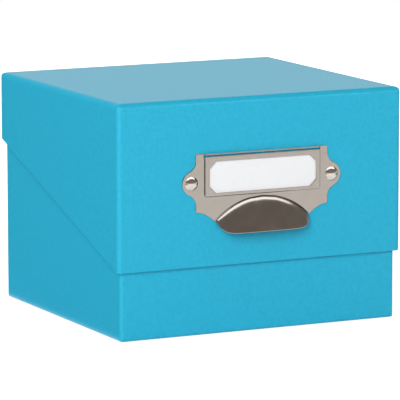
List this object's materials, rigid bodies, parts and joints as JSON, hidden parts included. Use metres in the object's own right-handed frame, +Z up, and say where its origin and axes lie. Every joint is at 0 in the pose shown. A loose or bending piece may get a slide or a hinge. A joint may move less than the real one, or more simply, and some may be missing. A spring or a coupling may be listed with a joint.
{
  "type": "photo storage box",
  "caption": "Paper-covered board box with a lift-off lid, a long front flap and a riveted metal label holder with a finger pull.",
  "frame": {"origin": "centre of the face that the box stands on", "axes": "+Z up, +X to the right along the front, -Y out of the front where the label holder is"},
  "size_m": [0.19, 0.185, 0.143],
  "materials": {
    "greyboard": "raw greyboard",
    "corner_tape": "kraft paper tape",
    "cover_paper": "dyed paper with a fine even tooth, matt",
    "lining_paper": "uncoated white paper",
    "nickel_plate": "satin nickel plate",
    "nickel_rivet": "bright nickel plate",
    "card": "smooth white card"
  },
  "bodies": {
    "base": {"base_floor_board": "greyboard", "base_front_board": "greyboard", "base_rear_board": "greyboard", "base_left_board": "greyboard", "base_right_board": "greyboard", "base_corner_tapes": "corner_tape", "base_cover_paper": "cover_paper", "base_wall_lining": "lining_paper", "base_floor_lining": "lining_paper", "base_bottom_sheet": "lining_paper"},
    "lid": {"lid_top_board": "greyboard", "lid_front_board": "greyboard", "lid_rear_board": "greyboard", "lid_left_board": "greyboard", "lid_right_board": "greyboard", "lid_corner_tapes": "corner_tape", "lid_cover_paper": "cover_paper", "lid_wall_lining": "lining_paper", "lid_top_lining": "lining_paper", "label_holder": "nickel_plate", "rivets": "nickel_rivet", "rivet_backs": "nickel_rivet"},
    "card": {"label_card": "card"}
  },
  "joints": [
    {"name": "lid_lift", "type": "slide", "parent": "base", "child": "lid", "axis": [0, 0, 1], "range_m": [0, 0.11]},
    {"name": "card_slide", "type": "slide", "parent": "lid", "child": "card", "axis": [0, 0, 1], "range_m": [0, 0.026]}
  ]
}
